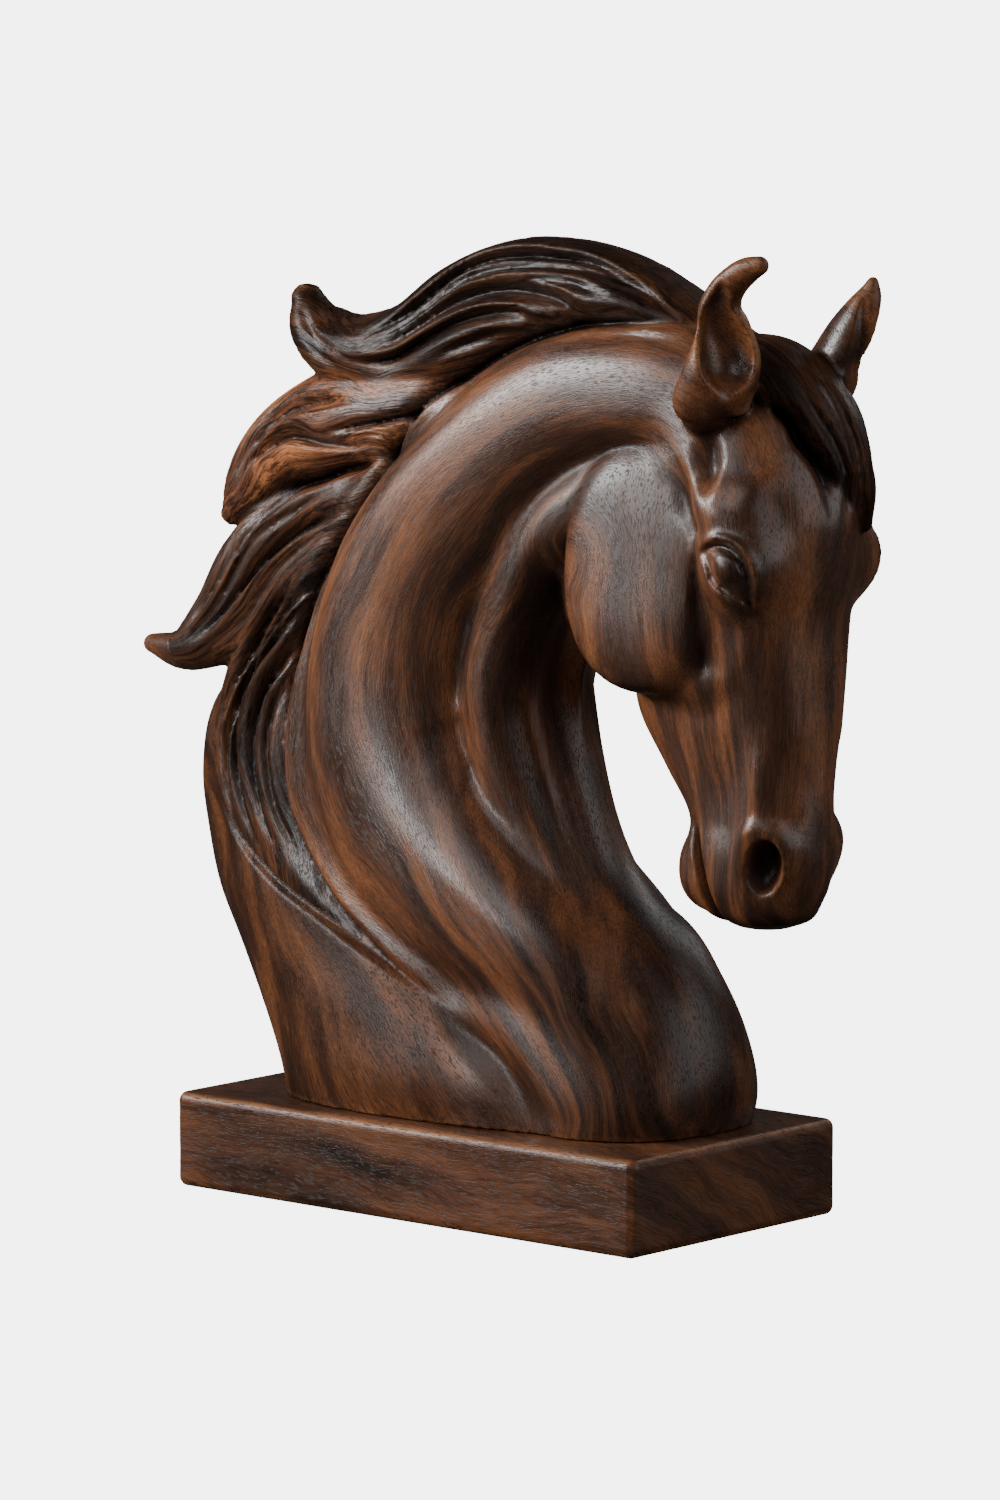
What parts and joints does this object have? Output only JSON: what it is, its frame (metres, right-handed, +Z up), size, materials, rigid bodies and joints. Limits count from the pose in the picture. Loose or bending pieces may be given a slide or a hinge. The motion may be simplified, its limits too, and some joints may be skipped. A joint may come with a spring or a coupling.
{
  "type": "horse head sculpture",
  "caption": "Carved wooden bust of a horse's head with arched neck and swept-back mane, fixed on a rounded rectangular wooden plinth; decorative ornament.",
  "frame": {"origin": "centre of the plinth's underside, which the sculpture stands on", "axes": "+Z up; +X toward the side the horse looks to, along the plinth's long side; -Y is the near side in the picture"},
  "size_m": [0.3411, 0.1222, 0.3737],
  "materials": {
    "bust_wood": "dark brown stained hardwood, carved and sanded, satin lacquer",
    "plinth_wood": "dark brown stained hardwood block with rounded edges, satin lacquer"
  },
  "bodies": {
    "root": {"horse_head": "bust_wood", "plinth": "plinth_wood"}
  },
  "joints": []
}
